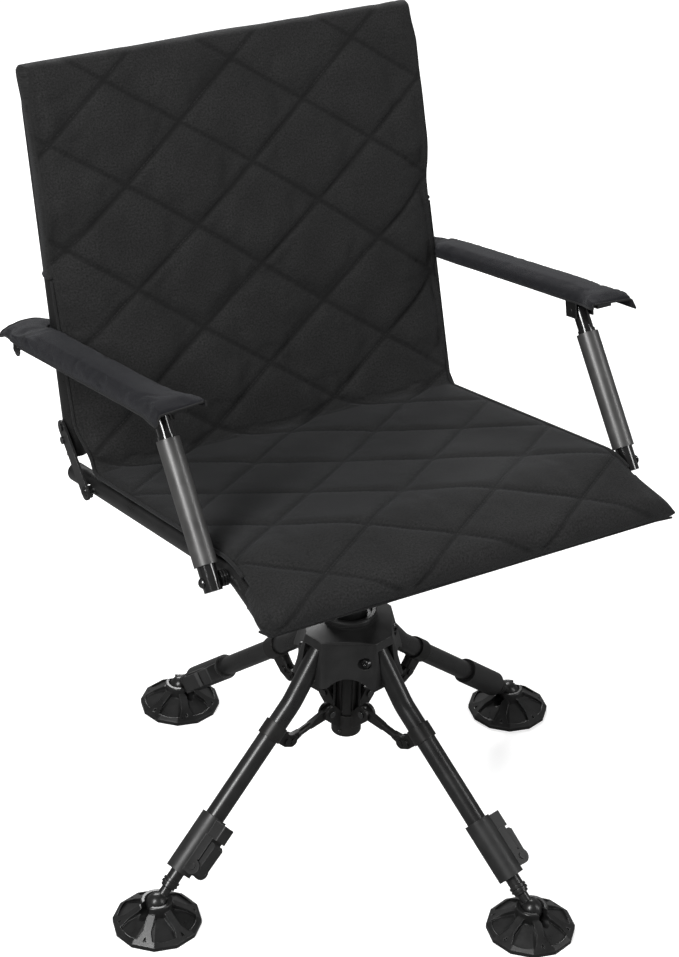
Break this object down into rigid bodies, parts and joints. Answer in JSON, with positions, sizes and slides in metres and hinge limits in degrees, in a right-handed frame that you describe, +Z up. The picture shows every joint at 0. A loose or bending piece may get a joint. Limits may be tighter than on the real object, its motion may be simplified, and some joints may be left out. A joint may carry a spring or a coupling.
{
  "type": "swivel blind chair",
  "caption": "Folding hunting-blind chair: quilted seat and back on a tube frame, padded armrests, swivel hub and braced telescopic legs with ball feet.",
  "frame": {"origin": "on the ground, on the seat's swivel axis, midway between the feet", "axes": "+Z up along the swivel axis, the sitter faces -Y, +X is the sitter's left"},
  "size_m": [0.6572, 0.6572, 0.8556],
  "materials": {
    "black_tube": "satin black powder coat",
    "grey_plate": "satin dark grey",
    "grey_sleeve": "satin anodised grey",
    "gloss_black": "gloss black",
    "hub_paint": "satin charcoal paint on a casting",
    "linkage": "satin black",
    "clamp_plastic": "satin moulded nylon",
    "foot_rubber": "moulded, faintly shiny",
    "dark_bolt": "black oxide, polished by wear",
    "quilted_cloth": "coarse charcoal weave, quilted in diamonds",
    "arm_cloth": "smooth blue-black weave"
  },
  "bodies": {
    "base": {"hub_casting": "hub_paint", "bearing_cap": "hub_paint", "spindle_bush": "linkage", "leg_hinge_pins": "dark_bolt"},
    "seat": {"spindle": "black_tube", "swivel_plate": "black_tube", "plate_bolts": "dark_bolt", "cross_rails": "black_tube", "seat_frame": "black_tube", "frame_spacers": "gloss_black", "hinge_bolts": "dark_bolt", "post_bolts": "dark_bolt", "seat_cushion": "quilted_cloth"},
    "back": {"back_frame": "black_tube", "hinge_plates": "grey_plate", "hinge_rivets": "dark_bolt", "arm_brackets": "black_tube", "arm_pivot_bolts": "dark_bolt", "back_cushion": "quilted_cloth"},
    "collar": {"centre_column": "linkage", "slide_collar": "linkage", "collar_bolts": "dark_bolt"},
    "armrest_l": {"arm_bar_l": "black_tube", "arm_clevis_l": "black_tube", "arm_pad_l": "arm_cloth"},
    "post_l": {"post_tube_l": "grey_sleeve", "post_plugs_l": "gloss_black"},
    "armrest_r": {"arm_bar_r": "black_tube", "arm_clevis_r": "black_tube", "arm_pad_r": "arm_cloth"},
    "post_r": {"post_tube_r": "grey_sleeve", "post_plugs_r": "gloss_black"},
    "leg_1": {"leg_tube_1": "black_tube", "strut_bracket_1": "linkage", "clamp_body_1": "clamp_plastic"},
    "brace_1": {"strut_1": "linkage"},
    "lever_1": {"clamp_lever_1": "clamp_plastic"},
    "extension_1": {"leg_extension_1": "black_tube"},
    "foot_1": {"foot_pad_1": "foot_rubber"},
    "leg_2": {"leg_tube_2": "black_tube", "strut_bracket_2": "linkage", "clamp_body_2": "clamp_plastic"},
    "brace_2": {"strut_2": "linkage"},
    "lever_2": {"clamp_lever_2": "clamp_plastic"},
    "extension_2": {"leg_extension_2": "black_tube"},
    "foot_2": {"foot_pad_2": "foot_rubber"},
    "leg_3": {"leg_tube_3": "black_tube", "strut_bracket_3": "linkage", "clamp_body_3": "clamp_plastic"},
    "brace_3": {"strut_3": "linkage"},
    "lever_3": {"clamp_lever_3": "clamp_plastic"},
    "extension_3": {"leg_extension_3": "black_tube"},
    "foot_3": {"foot_pad_3": "foot_rubber"},
    "leg_4": {"leg_tube_4": "black_tube", "strut_bracket_4": "linkage", "clamp_body_4": "clamp_plastic"},
    "brace_4": {"strut_4": "linkage"},
    "lever_4": {"clamp_lever_4": "clamp_plastic"},
    "extension_4": {"leg_extension_4": "black_tube"},
    "foot_4": {"foot_pad_4": "foot_rubber"}
  },
  "joints": [
    {"name": "seat_swivel", "type": "hinge", "parent": "base", "child": "seat", "pos_m": [0, 0, 0.26], "axis": [0, 0, 1], "continuous": true},
    {"name": "back_fold", "type": "hinge", "parent": "seat", "child": "back", "pos_m": [0, 0.169, 0.40889], "axis": [1, 0, 0], "range_deg": [0, 78]},
    {"name": "armrest_l_tilt", "type": "hinge", "parent": "back", "child": "armrest_l", "pos_m": [0.25, 0.27536, 0.54372], "axis": [1, 0, 0], "range_deg": [-78, 0]},
    {"name": "post_l_swing", "type": "hinge", "parent": "seat", "child": "post_l", "pos_m": [0.25, -0.15337, 0.47945], "axis": [1, 0, 0], "range_deg": [0, 78]},
    {"name": "armrest_r_tilt", "type": "hinge", "parent": "back", "child": "armrest_r", "pos_m": [-0.25, 0.27536, 0.54372], "axis": [1, 0, 0], "range_deg": [-78, 0]},
    {"name": "post_r_swing", "type": "hinge", "parent": "seat", "child": "post_r", "pos_m": [-0.25, -0.15337, 0.47945], "axis": [1, 0, 0], "range_deg": [0, 78]},
    {"name": "leg_1_fold", "type": "hinge", "parent": "base", "child": "leg_1", "pos_m": [0.0483, 0.01294, 0.242], "axis": [-0.2588, 0.9659, 0], "range_deg": [0, 36]},
    {"name": "leg_2_fold", "type": "hinge", "parent": "base", "child": "leg_2", "pos_m": [-0.01294, 0.0483, 0.242], "axis": [-0.9659, -0.2588, 0], "range_deg": [0, 36]},
    {"name": "leg_3_fold", "type": "hinge", "parent": "base", "child": "leg_3", "pos_m": [-0.0483, -0.01294, 0.242], "axis": [0.2588, -0.9659, 0], "range_deg": [0, 36]},
    {"name": "leg_4_fold", "type": "hinge", "parent": "base", "child": "leg_4", "pos_m": [0.01294, -0.0483, 0.242], "axis": [0.9659, 0.2588, 0], "range_deg": [0, 36]},
    {"name": "collar_slide", "type": "slide", "parent": "base", "child": "collar", "axis": [0, 0, 1], "range_m": [0, 0.04722]},
    {"name": "brace_1_swing", "type": "hinge", "parent": "leg_1", "child": "brace_1", "pos_m": [0.08693, 0.02329, 0.146], "axis": [-0.2588, 0.9659, 0], "range_deg": [0, 50.27]},
    {"name": "brace_2_swing", "type": "hinge", "parent": "leg_2", "child": "brace_2", "pos_m": [-0.02329, 0.08693, 0.146], "axis": [-0.9659, -0.2588, 0], "range_deg": [0, 50.27]},
    {"name": "brace_3_swing", "type": "hinge", "parent": "leg_3", "child": "brace_3", "pos_m": [-0.08693, -0.02329, 0.146], "axis": [0.2588, -0.9659, 0], "range_deg": [0, 50.27]},
    {"name": "brace_4_swing", "type": "hinge", "parent": "leg_4", "child": "brace_4", "pos_m": [0.02329, -0.08693, 0.146], "axis": [0.9659, 0.2588, 0], "range_deg": [0, 50.27]},
    {"name": "lever_1_flip", "type": "hinge", "parent": "leg_1", "child": "lever_1", "pos_m": [0.23444, 0.08352, 0.06155], "axis": [-0.6186, -0.1657, -0.7681], "range_deg": [0, 110]},
    {"name": "extension_1_slide", "type": "slide", "parent": "leg_1", "child": "extension_1", "axis": [0.7419, 0.1988, -0.6404], "range_m": [0, 0.11]},
    {"name": "foot_1_tilt", "type": "hinge", "parent": "extension_1", "child": "foot_1", "pos_m": [0.27964, 0.07493, 0.027], "axis": [-0.2588, 0.9659, 0], "range_deg": [-20, 20]},
    {"name": "lever_2_flip", "type": "hinge", "parent": "leg_2", "child": "lever_2", "pos_m": [-0.08352, 0.23444, 0.06155], "axis": [0.1657, -0.6186, -0.7681], "range_deg": [0, 110]},
    {"name": "extension_2_slide", "type": "slide", "parent": "leg_2", "child": "extension_2", "axis": [-0.1988, 0.7419, -0.6404], "range_m": [0, 0.11]},
    {"name": "foot_2_tilt", "type": "hinge", "parent": "extension_2", "child": "foot_2", "pos_m": [-0.07493, 0.27964, 0.027], "axis": [-0.9659, -0.2588, 0], "range_deg": [-20, 20]},
    {"name": "lever_3_flip", "type": "hinge", "parent": "leg_3", "child": "lever_3", "pos_m": [-0.23444, -0.08352, 0.06155], "axis": [0.6186, 0.1657, -0.7681], "range_deg": [0, 110]},
    {"name": "extension_3_slide", "type": "slide", "parent": "leg_3", "child": "extension_3", "axis": [-0.7419, -0.1988, -0.6404], "range_m": [0, 0.11]},
    {"name": "foot_3_tilt", "type": "hinge", "parent": "extension_3", "child": "foot_3", "pos_m": [-0.27964, -0.07493, 0.027], "axis": [0.2588, -0.9659, 0], "range_deg": [-20, 20]},
    {"name": "lever_4_flip", "type": "hinge", "parent": "leg_4", "child": "lever_4", "pos_m": [0.08352, -0.23444, 0.06155], "axis": [-0.1657, 0.6186, -0.7681], "range_deg": [0, 110]},
    {"name": "extension_4_slide", "type": "slide", "parent": "leg_4", "child": "extension_4", "axis": [0.1988, -0.7419, -0.6404], "range_m": [0, 0.11]},
    {"name": "foot_4_tilt", "type": "hinge", "parent": "extension_4", "child": "foot_4", "pos_m": [0.07493, -0.27964, 0.027], "axis": [0.9659, 0.2588, 0], "range_deg": [-20, 20]}
  ],
  "couplings": [
    {"joint": "armrest_l_tilt", "follows": "back_fold", "ratio": -1},
    {"joint": "post_l_swing", "follows": "back_fold", "ratio": 1},
    {"joint": "armrest_r_tilt", "follows": "back_fold", "ratio": -1},
    {"joint": "post_r_swing", "follows": "back_fold", "ratio": 1},
    {"joint": "leg_2_fold", "follows": "leg_1_fold", "ratio": 1},
    {"joint": "leg_3_fold", "follows": "leg_1_fold", "ratio": 1},
    {"joint": "leg_4_fold", "follows": "leg_1_fold", "ratio": 1},
    {"joint": "collar_slide", "follows": "leg_1_fold", "m_per_rad": 0.075148},
    {"joint": "brace_1_swing", "follows": "leg_1_fold", "ratio": 1.396},
    {"joint": "brace_2_swing", "follows": "leg_1_fold", "ratio": 1.396},
    {"joint": "brace_3_swing", "follows": "leg_1_fold", "ratio": 1.396},
    {"joint": "brace_4_swing", "follows": "leg_1_fold", "ratio": 1.396}
  ]
}
